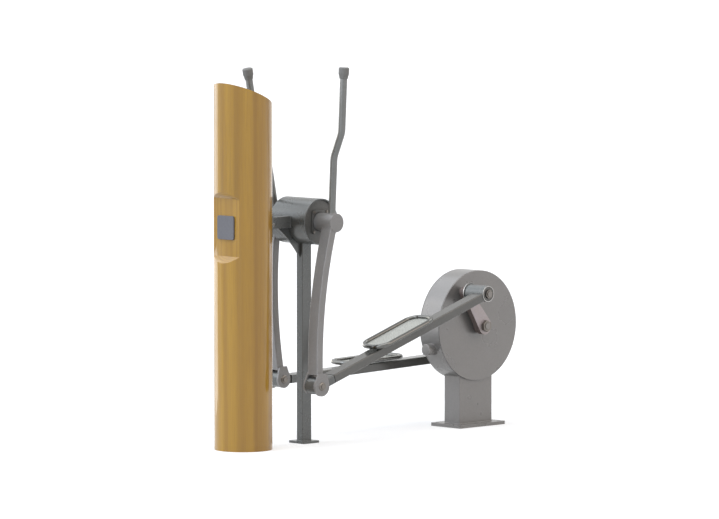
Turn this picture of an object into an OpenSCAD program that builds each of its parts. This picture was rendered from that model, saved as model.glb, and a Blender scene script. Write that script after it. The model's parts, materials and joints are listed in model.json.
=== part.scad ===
// Outdoor elliptical fitness station: two swing arms with handles, two pedal links and a crank drum.
// Millimetres. X runs along the machine from the post to the drum, Z is up.
// The origin is on the ground, at the centre of the column's base plate. The near side is -Y.

/* [Layout] */
// Height of the arm pivot above the ground
pivot_h = 970; // [940:1:1000]
// Distance from the column to the axis of the post
post_x = 364; // [350:1:420]
// Distance from the column to the crank shaft
drum_x = 1023; // [1000:1:1050]
// Height of the crank shaft above the ground
drum_h = 452; // [430:1:480]

/* [Linkage] */
// Arm length, from the upper pivot to the lower pivot
arm_len = 710; // [690:1:730]
// Link length, from the lower pivot to the crank pin
link_len = 1094; // [1070:1:1110]
// Crank radius
crank_r = 195; // [180:1:205]
// Angle of the near crank from upright, towards the post
crank_angle = 36; // [20:1:50]

/* [Post] */
// Diameter of the round post
post_d = 252; // [230:1:270]
// Height of the post at its high front edge
post_h = 1584; // [1550:1:1620]
// Slope of the slanted top, in degrees
post_slope = 23; // [15:0.5:32]
// Depth of the flat cut into the front of the post
flat_depth = 29; // [20:1:34]
// Height of the flat cut
flat_h = 247; // [200:1:260]
// Width and height of the cover plate on the flat
plate_size = 102; // [90:1:110]
// Thickness of the cover plate
plate_t = 8; // [4:1:10]
// Corner radius of the cover plate
plate_r = 10; // [4:1:16]
// Radius of the rods that clamp the post
rod_r = 6; // [5:0.5:7]
// Distance between the two rods
rod_gap = 64; // [62:1:68]
// Thickness of the saddle plate behind the post, at its middle
saddle_t = 12; // [8:1:16]
// Width of the saddle plate
saddle_w = 88; // [84:1:96]
// How far the flat, the plate and the clamp lie below the arm pivot
clamp_drop = 7; // [0:1:12]

/* [Column and beam] */
// Width of the column along the machine
column_w = 54; // [48:1:60]
// Depth of the column and the beam across the machine
column_d = 38; // [33:1:42]
// Wall of the column and the beam
column_wall = 3; // [2:0.5:5]
// Outer corner radius of the column and the beam
column_r = 3; // [2:0.5:6]
// Height of the beam's section
beam_h = 52; // [46:1:60]
// Size of the square base plate of the column
base_size = 95; // [92:1:120]
// Thickness of the column's base plate
base_t = 10; // [6:1:14]
// Distance of the column's anchor holes from the sides of its base plate
base_hole_in = 10.5; // [9:0.5:12]
// Radius of the column's anchor holes
base_hole_r = 5; // [4:0.5:5.5]
// Length of the gusset along the beam, from the column's face
gusset_w = 134; // [120:1:150]
// Height of the gusset down the column, from the beam
gusset_h = 134; // [115:1:150]
// Thickness of the gusset
gusset_t = 8; // [5:1:12]
// Hollow of the gusset's free edge
gusset_hollow = 9; // [5:1:18]

/* [Pivot housing] */
// Outer radius of the pivot housing
housing_r = 101; // [96:0.5:106]
// Half length of the pivot housing
housing_half = 107.5; // [104:0.5:112]
// Wall of the pivot housing
housing_wall = 6; // [4:0.5:8]
// Thickness of the housing's end caps
cap_t = 8; // [6:1:10]
// Depth of the end caps inside the housing's rim
cap_sunk = 10.5; // [8:0.5:14]
// Radius of the pivot axle
axle_r = 17.5; // [15:0.5:20]

/* [Swing arms] */
// Outer radius of the hub tube
hub_r = 40.5; // [37:0.5:43]
// Outer face of the hub, from the middle of the machine
hub_out = 206; // [200:1:212]
// Wall of the hub tube
hub_wall = 7.5; // [6:0.5:9]
// Thickness of the hub's closed end
hub_end_t = 5; // [3:1:8]
// Width of the arm's section across the machine
arm_w = 60; // [54:1:64]
// Depth of the arm's section along the machine
arm_t = 36; // [31:1:40]
// Wall of the arm and the link tubes
arm_wall = 4; // [2:0.5:5]
// Outer corner radius of the arm and the link tubes
arm_r = 5; // [5:0.5:8]
// Bow of the arm away from the drum
arm_bow = 31; // [20:1:40]
// How far the arm starts in front of the pivot
arm_set_back = 10; // [4:1:16]
// Middle of the arm at the pivot, from the middle of the machine
arm_y_top = 176; // [172:1:180]
// Middle of the arm at its lower pivot
arm_y_low = 210; // [206:1:214]
// Gap between the arm's end and the bearing tube below it
arm_gap = 7; // [5:0.5:10]
// Thickness of the lower pivot's ears
ear_t = 10; // [8:0.5:12]
// Radius of the outer ear
outer_ear_r = 43; // [40:0.5:45]
// Radius of the inner ear
inner_ear_r = 38; // [37.5:0.5:45]
// Height of the ears above the lower pivot
ear_h = 56; // [50:1:70]
// Radius of the lower pivot bolt
bolt_r = 12; // [10:0.5:14]
// Radius of the bolt's round head and nut
bolt_head_r = 19; // [17:0.5:22]
// Height of the bolt's round head and nut
bolt_head_t = 6; // [4:0.5:8]

/* [Handles] */
// Radius of the handle tube
handle_r = 16; // [14:0.5:18]
// Wall of the handle tube
handle_wall = 2.6; // [2:0.1:4]
// Lean of the handle towards the post, in degrees from the arm's line
handle_lean = 7.9; // [0:0.1:14]
// Middle of the handle at the hub, from the middle of the machine
handle_y = 172; // [168:1:176]
// Height of the straight foot of the handle
handle_foot = 266; // [240:1:290]
// Outward step of the handle
handle_step = 43; // [30:1:60]
// Slope of the step, in degrees from upright
handle_slope = 21.5; // [15:0.5:30]
// Bend radius of the handle tube
handle_bend = 90; // [60:1:150]
// Height of the handle's top above the pivot
handle_top = 673; // [640:1:700]
// Height of the end cap on the handle
grip_h = 50; // [40:1:60]
// Radius of the end cap at its top
grip_top_r = 23; // [20:0.5:26]
// Radius of the end cap at its foot
grip_foot_r = 18.5; // [18.5:0.5:19.5]

/* [Pedal links] */
// Width of the link bar
bar_w = 64; // [60:1:70]
// Height of the link bar's section
bar_t = 38; // [34:1:42]
// Middle of the bar, from the middle of the machine
bar_y = 204; // [201:0.5:204.5]
// How far the bar's middle lies below the line between its pivots
bar_drop = 3.5; // [1:0.5:6]
// Radius of the front bearing tube
front_r = 36.5; // [34:0.5:37]
// Distance from the front pivot to the stub's shoulder
stub_start = 48; // [47:1:52]
// Length of the stub
stub_len = 44; // [36:1:50]
// Visible gap between the stub and the bar
stub_gap = 3.5; // [2:0.5:5]
// Length of the spigot inside the bar
spigot_len = 40; // [30:1:60]
// Outer radius of the front bush
bush_r = 22; // [20:0.5:24]
// Radius of the rear bearing tube
rear_r = 37; // [35:0.5:40]
// Inner end of the rear bearing tube, from the middle of the machine
rear_in = 120; // [118:1:124]
// Thickness of the flange at the inner end of the rear bearing tube
flange_t = 5; // [4:0.5:7]
// Height of the flange above the rear bearing tube
flange_lip = 5; // [3:0.5:6]
// Wall of the rear bearing tube
rear_wall = 6; // [5:0.5:8]
// Radius of the crank pin
pin_r = 12.5; // [10:0.5:14]
// Depth of the recess at the outer end of the rear bearing tube
rear_recess = 15; // [10:1:18]

/* [Pedals] */
// Length of the pedal frame, outside
pedal_l = 369; // [340:1:400]
// Width of the pedal frame, outside
pedal_w = 160; // [150:1:166]
// Radius of the pedal frame's round bar
pedal_bar_r = 10; // [8:0.5:11]
// Corner radius of the pedal frame, at the middle of its bar
pedal_corner = 55; // [40:1:60]
// Distance from the front pivot to the middle of the pedal
pedal_s = 543; // [480:1:600]
// Middle of the pedal, from the middle of the machine
pedal_y = 203; // [199:1:206]
// Gap between the bar and the pedal frame
pedal_lift = 10; // [7:0.5:13]
// Thickness of the pedal plate
plate_thick = 4; // [3:0.5:6]
// How far the plate's top lies below the middle of the frame's bar
plate_low = 2.5; // [0:0.5:4]
// Length of each pedal riser along the bar
riser_l = 40; // [30:1:60]
// Distance between the middles of the two risers
riser_gap = 200; // [140:1:240]

/* [Drum and cranks] */
// Radius of the drum
drum_r = 246.5; // [238:0.5:254]
// Half width of the drum
drum_half = 61; // [58:0.5:61.5]
// Wall of the drum and its covers
drum_wall = 4; // [3:0.5:5]
// Radius of the crank shaft
shaft_r = 20; // [18:0.5:22]
// Gap between the drum's cover and the crank
crank_gap = 3; // [2:0.5:4]
// Outer face of the crank, from the middle of the machine
crank_out = 107; // [104:1:110]
// Radius of the crank's hub end
crank_hub_r = 38; // [34:0.5:42]
// Radius of the crank's pin end
crank_end_r = 23; // [21:0.5:28]
// Thickness of the crank
crank_t = 28; // [24:1:34]
// Radius of the boss on the crank's inner face
crank_boss_r = 34; // [30:1:37]
// Radius of the flywheel inside the drum
flywheel_r = 190; // [160:1:220]
// Thickness of the flywheel's disc
flywheel_t = 16; // [10:1:24]
// Radius of the service boss on the front of the drum
boss_r = 26; // [22:0.5:30]
// Length of the service boss
boss_len = 45; // [30:1:60]
// Height of the service boss above the ground
boss_h = 355; // [345:1:375]
// Length of the pedestal along the machine
pedestal_w = 206; // [180:1:230]
// Depth of the pedestal across the machine
pedestal_d = 97; // [86:1:106]
// Wall of the pedestal
pedestal_wall = 5; // [3:0.5:6]
// Length of the pedestal's base plate
foot_l = 289; // [284:1:320]
// Width of the pedestal's base plate
foot_w = 184; // [176:1:210]
// Thickness of the pedestal's base plate
foot_t = 15; // [10:1:20]
// Distance of the pedestal's anchor holes from the ends of its base plate
foot_hole_end = 20.5; // [16:0.5:22]
// Distance of the pedestal's anchor holes from the sides of its base plate
foot_hole_side = 21; // [16:0.5:24]
// Radius of the pedestal's anchor holes
foot_hole_r = 9; // [6:0.5:10]

/* [Fits] */
// Radial clearance of a turning fit
run_gap = 0.05; // [0.03:0.01:0.09]
// Radial clearance of a seated fit
seat_gap = 0.02; // [0.01:0.01:0.04]
// Face clearance beside a turning piece
side_gap = 0.4; // [0.3:0.1:0.6]

/* [Hidden] */
$fn = 64;

// Colours of the painted steel, the bare steel, the timber and the pedal plates
paint = "#85837F";
paint_dark = "#6E6D6A";
bare_steel = "#A9AAA8";
bronze = "#A98A54";
timber = "#B88F4E";
tread = "#C9CCC8";

// Length that a cutting shape reaches past what it cuts
over = 1;

// Least corner radius inside a tube, and the corner radius of a base plate
inside_round = 0.5;
base_corner = 4;

// Distances between the anchor holes
base_hole_gap = base_size - 2 * base_hole_in;
foot_hole_x = foot_l - 2 * foot_hole_end;
foot_hole_y = foot_w - 2 * foot_hole_side;

// Facets that the largest arcs are drawn with
post_facets = 96;
edge_facets = 128;
bow_facets = 256;

// Linkage points: the crank pins, the lower pivots, and the lean of each arm and link
function crank_lean(near) = near ? crank_angle : crank_angle + 180;
function pin_at(near) =
    [drum_x - crank_r * sin(crank_lean(near)), drum_h + crank_r * cos(crank_lean(near))];
function lower_at(near) = let (
    pin = pin_at(near),
    reach = [pin[0], pin[1] - pivot_h],
    span = norm(reach),
    along = (arm_len * arm_len - link_len * link_len + span * span) / (2 * span),
    off = sqrt(arm_len * arm_len - along * along),
    u = reach / span
) [along * u[0] + off * u[1], pivot_h + along * u[1] - off * u[0]];
function arm_lean(near) = let (low = lower_at(near)) atan2(low[0], pivot_h - low[1]);
function link_slope(near) = let (low = lower_at(near), pin = pin_at(near))
    atan2(pin[1] - low[1], pin[0] - low[0]);

// Handle: the bends are this much thicker than the straight runs, so their seams are plain circles
bend_seam = 0.1;

// Handle's end cap: thickness above the tube, chamfers, and the heights where its neck and its flare end
grip_crown = 4;
grip_chamfer = 2;
grip_neck = 10;
grip_flare = 22;
grip_round = 5;

// Seats on the pivot axle, measured from the middle of the machine
cap_face = housing_half - cap_sunk;
hub_in = cap_face + side_gap;
hub_bore = hub_r - hub_wall;
bearing_w = 14;
collar_r = axle_r + 4;
bearing_in = cap_face + 5;
bearing_out = hub_in + 63;
axle_nut_y = bearing_out + bearing_w;
axle_nut_t = 14;
axle_nut_af = 40;
axle_end = axle_nut_y + axle_nut_t + 2;

// Lower pivot, across the machine
clevis_in = arm_y_low - arm_w / 2;
clevis_out = arm_y_low + arm_w / 2;
arm_end = arm_len - front_r - arm_gap;
arm_slant = atan((arm_y_low - arm_y_top) / arm_len);
arm_chord = norm([arm_set_back, arm_len]);
bow_r = (arm_chord * arm_chord / 4 + arm_bow * arm_bow) / (2 * arm_bow);
bow_half = asin(arm_chord / 2 / bow_r);
ear_lip = 2;
ear_rake = 3;
ear_root = ear_h * tan(arm_slant) + 0.3;
stub_room = 2.5;

// Rear pivot, across the machine
rear_out = bar_y + bar_w / 2;
rear_bore = rear_r - rear_wall;
rear_bearing_w = 17;
spigot_round = 1.5;
pin_collar_r = 19;
collar_room = 2;
pin_collar_out = rear_in + flange_t + 1;
pin_nut_af = 36;
pin_nut_t = 19;
washer_r = 24;
washer_t = 4;
rear_bearing_out = rear_out - rear_recess - rear_bearing_w;
pin_washer_y = rear_out - rear_recess;
pin_nut_y = pin_washer_y + washer_t;
pin_end = pin_nut_y + pin_nut_t + 3;

// Pedal heights above the line between the link's pivots
bar_top = bar_t / 2 - bar_drop;
pedal_h = bar_top + pedal_lift + pedal_bar_r;
plate_top = pedal_h - plate_low;
plate_inset = sqrt(pedal_bar_r * pedal_bar_r - plate_low * plate_low) + seat_gap;

// Shaft seats inside the drum, measured from the middle of the machine
shaft_bearing_w = 18;
shaft_bearing_r = 2 * shaft_r;
shaft_cover_r = shaft_r + 6;
shaft_housing_r = shaft_bearing_r + 10;
shaft_flange_r = shaft_housing_r + 22;
shaft_flange_t = 8;
shaft_seat = drum_half - drum_wall;
shaft_shelf = 4;
shaft_housing_in = shaft_seat - shaft_bearing_w - shaft_shelf;
crank_in = drum_half + crank_gap;
shaft_thread_r = shaft_r - 5;
crank_nut_af = 46;
crank_nut_t = 15;
shaft_end = crank_out + crank_nut_t + 2;
flywheel_hub_r = shaft_r + 22;
flywheel_hub_half = shaft_housing_in - 6;
flywheel_rim_w = 24;
pedestal_corner = 3;
boss_chamfer = 2;

// Post and its clamp
post_r = post_d / 2;
flat_x = post_r - flat_depth;
clamp_h = pivot_h - clamp_drop;
rod_fit = 0.5;
rod_nut_af = 19;
rod_nut_t = 10;
rod_stub = 4;
saddle_face = post_x - post_r - saddle_t;

// Shared shapes
// Rectangle with round corners, centred
module round_rect(w, h, r) {
    square([w - 2 * r, h], center = true);
    square([w, h - 2 * r], center = true);
    for (i = [-1, 1], j = [-1, 1])
        translate([i * (w / 2 - r), j * (h / 2 - r)]) circle(r = r);
}

// The same, with each corner in three short flats, for a section that is swept along a bow
module eased_rect(w, h, r) {
    polygon([for (quarter = [0:3], turn = [0, 30, 60, 90]) let (
        side = quarter == 0 || quarter == 3 ? 1 : -1,
        end = quarter < 2 ? 1 : -1,
        a = 90 * quarter + turn
    ) [side * (w / 2 - r) + r * cos(a), end * (h / 2 - r) + r * sin(a)]]);
}

// Section of a rectangular tube, centred
module box_section(w, h, r, wall) {
    difference() {
        round_rect(w, h, r);
        round_rect(w - 2 * wall, h - 2 * wall, max(r - wall, 0) + inside_round);
    }
}

// Round bar across the machine, between two distances from the middle
module rod_y(r, from, to) {
    translate([0, from, 0]) rotate([-90, 0, 0]) cylinder(r = r, h = to - from);
}

// Round tube across the machine
module ring_y(outer, inner, from, to) {
    difference() {
        rod_y(outer, from, to);
        rod_y(inner, from - over, to + over);
    }
}

// Hexagon nut or head across the machine, with an optional bore
module hex_y(af, from, to, bore = 0) {
    difference() {
        translate([0, from, 0]) rotate([-90, 0, 0]) cylinder(r = af / 2 / cos(30), h = to - from, $fn = 6);
        if (bore > 0) rod_y(bore, from - over, to + over);
    }
}

// Flat outline in the plane of the machine, made thick across it
module slab_y(from, to) {
    translate([0, to, 0]) rotate([90, 0, 0]) linear_extrude(to - from) children();
}

// Ball bearing across the machine: two races with a sunk seal on each side
module bearing_y(outer, inner, from, width) {
    race = (outer - inner) / 4;
    sunk = 1;
    difference() {
        ring_y(outer, inner, from, from + width);
        for (y = [from - over, from + width - sunk])
            ring_y(outer - race, inner + race, y, y + sunk + over);
    }
}

// Tapered plate between two round ends, the second one straight above the first
module tapered_outline(r1, r2, reach) {
    lean = asin((r1 - r2) / reach);
    circle(r = r1);
    translate([0, reach]) circle(r = r2);
    polygon([
        [r1 * cos(lean), r1 * sin(lean)], [r2 * cos(lean), reach + r2 * sin(lean)],
        [-r2 * cos(lean), reach + r2 * sin(lean)], [-r1 * cos(lean), r1 * sin(lean)]
    ]);
}

// Places for the moving pieces, which are drawn for the far side and mirrored for the near one
module on_side(near) {
    if (near) mirror([0, 1, 0]) children();
    else children();
}

module on_arm(near) {
    translate([0, 0, pivot_h]) rotate([0, -arm_lean(near), 0]) on_side(near) children();
}

module on_link(near) {
    low = lower_at(near);
    translate([low[0], 0, low[1]]) rotate([0, -link_slope(near), 0]) on_side(near) children();
}

module on_crank(near) {
    translate([drum_x, 0, drum_h]) rotate([0, -crank_lean(near), 0]) on_side(near) children();
}

module both_sides() {
    children();
    mirror([0, 1, 0]) children();
}

// Post, clamp, beam and column
module post() {
    far_edge = post_d + over;
    flat_end = flat_h / 2 + flat_depth + over;
    color(timber) difference() {
        translate([-post_x, 0, 0]) cylinder(r = post_r, h = post_h, $fn = post_facets);
        // Slanted top, falling towards the machine
        translate([-post_x - post_r, 0, post_h]) slab_y(-post_d, post_d) polygon([
            [-over, over * tan(post_slope)], [far_edge, -far_edge * tan(post_slope)],
            [far_edge, post_d], [-over, post_d]
        ]);
        // Flat for the cover plate, with sloping ends
        translate([-post_x, 0, clamp_h]) slab_y(-post_d, post_d) polygon([
            [-flat_x, -flat_h / 2], [-flat_x, flat_h / 2],
            [-post_r - over, flat_end], [-post_r - over, -flat_end]
        ]);
        // Holes for the two clamp rods
        for (i = [-1, 1])
            translate([-post_x - post_r, i * rod_gap / 2, clamp_h]) rotate([0, 90, 0])
                cylinder(r = rod_r + rod_fit, h = post_d);
    }
}

module post_plate() {
    color(paint_dark) translate([-post_x - flat_x - plate_t, 0, clamp_h]) rotate([90, 0, 90])
        linear_extrude(plate_t) round_rect(plate_size, plate_size, plate_r);
}

module post_rods() {
    back = -saddle_face;
    color(bare_steel) for (i = [-1, 1]) translate([0, i * rod_gap / 2, clamp_h]) rotate([0, 90, 0]) {
        translate([0, 0, -post_x - flat_x])
            cylinder(r = rod_r, h = post_x + flat_x + back + rod_nut_t + rod_stub);
        translate([0, 0, back]) cylinder(r = rod_nut_af / 2 / cos(30), h = rod_nut_t, $fn = 6);
    }
}

module post_saddle() {
    depth = saddle_t + post_r - sqrt(post_r * post_r - saddle_w * saddle_w / 4);
    color(paint_dark) difference() {
        translate([-saddle_face - depth, -saddle_w / 2, clamp_h - plate_size / 2])
            cube([depth, saddle_w, plate_size]);
        translate([-post_x, 0, clamp_h - plate_size])
            cylinder(r = post_r, h = 2 * plate_size, $fn = post_facets);
        for (i = [-1, 1])
            translate([-saddle_face - depth - over, i * rod_gap / 2, clamp_h]) rotate([0, 90, 0])
                cylinder(r = rod_r + rod_fit, h = depth + 2 * over);
    }
}

module housing_cut() {
    translate([0, 0, pivot_h]) rod_y(housing_r, -housing_half, housing_half);
}

module beam() {
    color(paint) difference() {
        translate([-saddle_face, 0, pivot_h]) rotate([90, 0, 90]) linear_extrude(saddle_face)
            box_section(column_d, beam_h, column_r, column_wall);
        housing_cut();
    }
}

module gusset() {
    a = [-column_w / 2, pivot_h - beam_h / 2 - gusset_h];
    b = [-column_w / 2 - gusset_w, pivot_h - beam_h / 2];
    chord = norm(b - a);
    edge_r = (chord * chord / 4 + gusset_hollow * gusset_hollow) / (2 * gusset_hollow);
    out = [a[1] - b[1], b[0] - a[0]] / chord;
    color(paint) difference() {
        slab_y(-gusset_t / 2, gusset_t / 2) difference() {
            polygon([a, b, [a[0], b[1]]]);
            translate((a + b) / 2 + out * (edge_r - gusset_hollow)) circle(r = edge_r, $fn = edge_facets);
        }
        housing_cut();
    }
}

module column() {
    color(paint) difference() {
        translate([0, 0, base_t]) linear_extrude(pivot_h - base_t)
            box_section(column_w, column_d, column_r, column_wall);
        housing_cut();
    }
}

module column_base() {
    color(paint) difference() {
        linear_extrude(base_t) round_rect(base_size, base_size, base_corner);
        for (i = [-1, 1], j = [-1, 1])
            translate([i * base_hole_gap / 2, j * base_hole_gap / 2, -over])
                cylinder(r = base_hole_r, h = base_t + 2 * over);
    }
}

module pivot_housing() {
    color(paint) translate([0, 0, pivot_h])
        ring_y(housing_r, housing_r - housing_wall, -housing_half, housing_half);
}

module housing_caps() {
    color(paint_dark) translate([0, 0, pivot_h]) both_sides()
        ring_y(housing_r - housing_wall - seat_gap, axle_r + seat_gap, cap_face - cap_t, cap_face);
}

module pivot_axle() {
    color(bare_steel) translate([0, 0, pivot_h]) {
        rod_y(axle_r, -axle_end, axle_end);
        both_sides() {
            rod_y(collar_r, cap_face, bearing_in - side_gap / 2);
            rod_y(collar_r, bearing_in + bearing_w + side_gap / 2, bearing_out - side_gap / 2);
        }
    }
}

module axle_nuts() {
    color(bare_steel) translate([0, 0, pivot_h]) both_sides()
        hex_y(axle_nut_af, axle_nut_y + side_gap / 2, axle_nut_y + axle_nut_t, axle_r + seat_gap);
}

// Pedestal, drum and what it holds
module pedestal() {
    color(paint) difference() {
        translate([drum_x, 0, foot_t]) linear_extrude(drum_h - foot_t)
            box_section(pedestal_w, pedestal_d, pedestal_corner, pedestal_wall);
        translate([drum_x, 0, drum_h]) rod_y(drum_r, -pedestal_d, pedestal_d);
    }
}

module pedestal_base() {
    color(paint) difference() {
        translate([drum_x, 0, 0]) linear_extrude(foot_t) round_rect(foot_l, foot_w, base_corner);
        for (i = [-1, 1], j = [-1, 1])
            translate([drum_x + i * foot_hole_x / 2, j * foot_hole_y / 2, -over])
                cylinder(r = foot_hole_r, h = foot_t + 2 * over);
    }
}

module drum_rim() {
    color(paint) translate([drum_x, 0, drum_h])
        ring_y(drum_r, drum_r - drum_wall, -drum_half + drum_wall, drum_half - drum_wall);
}

module drum_cover() {
    color(paint) translate([drum_x, 0, drum_h])
        ring_y(drum_r, shaft_cover_r, drum_half - drum_wall, drum_half);
}

module near_drum_cover() { on_side(true) drum_cover(); }

module far_drum_cover() { on_side(false) drum_cover(); }

module shaft_housings() {
    color(paint_dark) translate([drum_x, 0, drum_h]) both_sides() difference() {
        union() {
            rod_y(shaft_housing_r, shaft_housing_in, shaft_seat);
            rod_y(shaft_flange_r, shaft_seat - shaft_flange_t, shaft_seat);
        }
        rod_y(shaft_bearing_r, shaft_housing_in + shaft_shelf, shaft_seat + over);
        rod_y(shaft_cover_r, shaft_housing_in - over, shaft_seat);
    }
}

module shaft_bearings() {
    color(bare_steel) translate([drum_x, 0, drum_h]) both_sides()
        bearing_y(shaft_bearing_r - seat_gap, shaft_r + run_gap, shaft_housing_in + shaft_shelf,
            shaft_bearing_w);
}

module drum_boss() {
    rise = drum_h - boss_h;
    face = sqrt(drum_r * drum_r - rise * rise);
    color(paint) difference() {
        translate([drum_x - face - boss_len, 0, boss_h]) rotate([0, 90, 0]) {
            cylinder(r1 = boss_r - boss_chamfer, r2 = boss_r, h = boss_chamfer);
            translate([0, 0, boss_chamfer]) cylinder(r = boss_r, h = boss_len + boss_r);
        }
        translate([drum_x, 0, drum_h]) rod_y(drum_r, -drum_half, drum_half);
    }
}

// Crank shaft with its two cranks
module crank_shaft() {
    color(bare_steel) translate([drum_x, 0, drum_h]) {
        rod_y(shaft_r, -crank_out, crank_out);
        rod_y(shaft_thread_r, -shaft_end, shaft_end);
    }
}

module flywheel() {
    color(paint_dark) translate([drum_x, 0, drum_h]) difference() {
        union() {
            rod_y(flywheel_r, -flywheel_t / 2, flywheel_t / 2);
            rod_y(flywheel_hub_r, -flywheel_hub_half, flywheel_hub_half);
            ring_y(flywheel_r, flywheel_r - flywheel_rim_w, -flywheel_t, flywheel_t);
        }
        rod_y(shaft_r + seat_gap, -drum_half, drum_half);
    }
}

module crank() {
    color(paint) difference() {
        union() {
            slab_y(crank_out - crank_t, crank_out) tapered_outline(crank_hub_r, crank_end_r, crank_r);
            rod_y(crank_boss_r, crank_in, crank_out - crank_t + over);
        }
        rod_y(shaft_r + seat_gap, crank_in - over, crank_out + over);
    }
}

module near_crank() { on_crank(true) crank(); }

module far_crank() { on_crank(false) crank(); }

module crank_nuts() {
    color(bare_steel) for (near = [true, false]) on_crank(near)
        hex_y(crank_nut_af, crank_out, crank_out + crank_nut_t, shaft_thread_r + seat_gap);
}

// Swing arm, drawn with its pivot at the origin and its lower pivot straight below
module hub_tube() {
    color(paint) difference() {
        rod_y(hub_r, hub_in, hub_out);
        rod_y(hub_bore, hub_in - over, hub_out - hub_end_t);
    }
}

module hub_bearings() {
    color(bare_steel) for (y = [bearing_in, bearing_out])
        bearing_y(hub_bore - seat_gap, axle_r + run_gap, y, bearing_w);
}

// The section given, swept along the arm's bow
module arm_sweep() {
    translate([0, arm_y_top, 0]) rotate([arm_slant, 0, 0])
        translate([-arm_set_back / 2, 0, -arm_len / 2]) rotate([0, -atan(arm_set_back / arm_len), 0])
            translate([bow_r - arm_bow, 0, 0]) rotate([90, 0, 0]) rotate([0, 0, 180 - bow_half])
                rotate_extrude(angle = 2 * bow_half, $fn = bow_facets)
                    translate([bow_r, 0]) children();
}

// Everything below a height under the upper pivot
module below(depth) {
    translate([-arm_len, 0, -2 * arm_len]) cube([2 * arm_len, 2 * hub_out, 2 * arm_len - depth]);
}

module lower_arm() {
    color(paint) difference() {
        arm_sweep() eased_rect(arm_t, arm_w, arm_r);
        difference() {
            arm_sweep() square([arm_t - 2 * arm_wall, arm_w - 2 * arm_wall], center = true);
            below(arm_end - arm_wall);
        }
        below(arm_end);
        rod_y(hub_r, hub_in, hub_out + arm_w);
    }
}

// Plate with a round foot and a straight top, which carries the lower pivot
module ear_outline(r) {
    neck = arm_t / 2 + ear_lip;
    lean = asin((r - neck) / norm([ear_h, neck]));
    circle(r = r);
    polygon([
        [r * cos(lean), r * sin(lean)], [neck, ear_h],
        [-neck - ear_rake, ear_h], [-r * cos(lean), r * sin(lean)],
        [-r * cos(lean), 0], [r * cos(lean), 0]
    ]);
}

module ear(r, from, to) {
    color(paint) difference() {
        translate([0, 0, -arm_len]) slab_y(from, to) ear_outline(r);
        arm_sweep() eased_rect(arm_t, arm_w, arm_r);
        translate([0, 0, -arm_len]) rod_y(bolt_r + seat_gap, from - over, to + over);
        // Room for the bearing tube and its stub, where the plate is thicker than its ear
        translate([0, 0, -arm_len]) rod_y(front_r + arm_gap + stub_room, clevis_in, clevis_out);
    }
}

module outer_ear() { ear(outer_ear_r, clevis_out - ear_root, clevis_out + ear_t); }

module inner_ear() { ear(inner_ear_r, clevis_in - ear_t, clevis_in); }

module pivot_bolt() {
    color(bare_steel) translate([0, 0, -arm_len]) {
        rod_y(bolt_r, clevis_in - ear_t, clevis_out + ear_t);
        rod_y(bolt_head_r, clevis_out + ear_t, clevis_out + ear_t + bolt_head_t);
        rod_y(bolt_head_r, clevis_in - ear_t - bolt_head_t, clevis_in - ear_t);
    }
}

// Handle tube, drawn upright with its foot on the pivot, and one bend of it
module handle_elbow(r) {
    rotate([90, 0, -90]) rotate_extrude(angle = handle_slope) {
        translate([handle_bend, 0]) circle(r = r + bend_seam);
    }
}

// The whole bar along its bent centre line, from the pivot up; the straight runs reach a little into the
// bends, so the seams are plain circles.
module handle_sweep(r, top_cut) {
    rise = handle_bend * sin(handle_slope);
    shift = handle_bend * (1 - cos(handle_slope));
    run = (handle_step - 2 * shift) / sin(handle_slope);
    top = handle_foot + 2 * rise + run * cos(handle_slope);
    translate([0, handle_y, 0]) {
        cylinder(r = r, h = handle_foot + over);
        translate([0, handle_bend, handle_foot]) handle_elbow(r);
        translate([0, shift, handle_foot + rise]) rotate([-handle_slope, 0, 0]) {
            translate([0, 0, -over]) cylinder(r = r, h = run + 2 * over);
        }
        translate([0, handle_step - handle_bend, top]) rotate([180, 0, 0]) handle_elbow(r);
        translate([0, handle_step, top - over]) cylinder(r = r, h = handle_top - top + over - top_cut);
    }
}

module handle() {
    color(paint) difference() {
        rotate([0, -handle_lean, 0]) difference() {
            handle_sweep(handle_r, grip_crown);
            handle_sweep(handle_r - handle_wall, grip_crown - over);
        }
        rod_y(hub_r, hub_in, hub_out + over);
    }
}

module handle_cap() {
    foot = handle_top - grip_h;
    color(paint_dark) rotate([0, -handle_lean, 0]) translate([0, handle_y + handle_step, foot])
        difference() {
            rotate_extrude() polygon([
                [0, 0], [grip_foot_r - grip_chamfer, 0], [grip_foot_r, grip_chamfer],
                [grip_foot_r + grip_chamfer / 2, grip_neck], [grip_top_r, grip_flare],
                [grip_top_r, grip_h - grip_round], [grip_top_r - grip_chamfer, grip_h - grip_chamfer],
                [grip_top_r - grip_round, grip_h], [0, grip_h]
            ]);
            translate([0, 0, -over]) cylinder(r = handle_r + seat_gap, h = grip_h - grip_crown + over);
        }
}

// Pedal link, drawn with its front pivot at the origin and its crank pin straight behind
module bar_block(from, to, w, t, r) {
    translate([from, bar_y, -bar_drop]) rotate([90, 0, 90]) linear_extrude(to - from) round_rect(w, t, r);
}

module front_yoke() {
    neck_in = clevis_in + 2 * side_gap;
    neck_out = min(rear_out, clevis_out - ear_root - 2 * side_gap);
    inner_w = bar_w - 2 * arm_wall - side_gap;
    color(paint) difference() {
        union() {
            rod_y(front_r, clevis_in + side_gap, clevis_out - side_gap);
            translate([0, neck_in, -bar_drop - bar_t / 2]) cube([stub_start, neck_out - neck_in, bar_t]);
            bar_block(stub_start, stub_start + stub_len, bar_w, bar_t, arm_r);
            bar_block(stub_start, stub_start + stub_len + stub_gap + spigot_len, inner_w,
                bar_t - 2 * arm_wall - side_gap, spigot_round);
        }
        rod_y(bush_r, clevis_in - over, clevis_out + over);
    }
}

module front_bush() {
    color(bronze) ring_y(bush_r - seat_gap, bolt_r + run_gap, clevis_in + side_gap, clevis_out - side_gap);
}

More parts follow.
